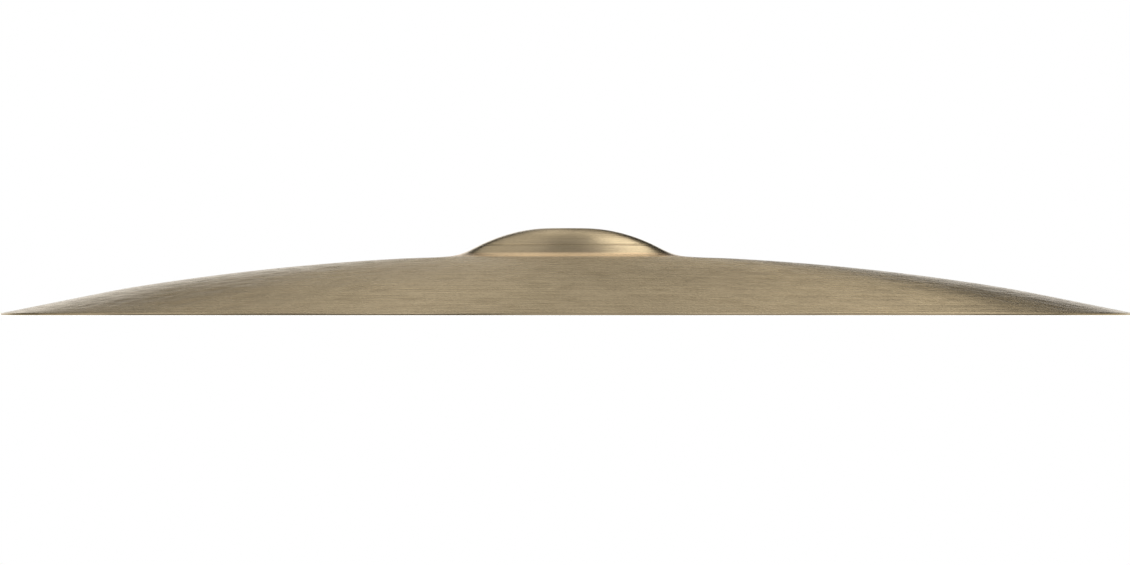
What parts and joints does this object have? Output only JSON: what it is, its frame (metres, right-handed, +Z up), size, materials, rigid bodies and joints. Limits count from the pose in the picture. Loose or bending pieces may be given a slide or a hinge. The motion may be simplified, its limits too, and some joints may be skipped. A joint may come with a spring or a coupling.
{
  "type": "ride cymbal",
  "caption": "Large bronze ride cymbal: a thin lathed and hammered disc with a raised bell, a gently curved bow, a sloping margin and a centre hole for a stand.",
  "frame": {"origin": "centre of the plane that the rim stands on", "axes": "+Z up through the centre hole and out of the bell; the disc is turned about Z"},
  "size_m": [0.5588, 0.5588, 0.043],
  "materials": {
    "bell_bronze": "lathed and hammered, satin to glossy"
  },
  "bodies": {
    "root": {"cymbal": "bell_bronze"}
  },
  "joints": []
}
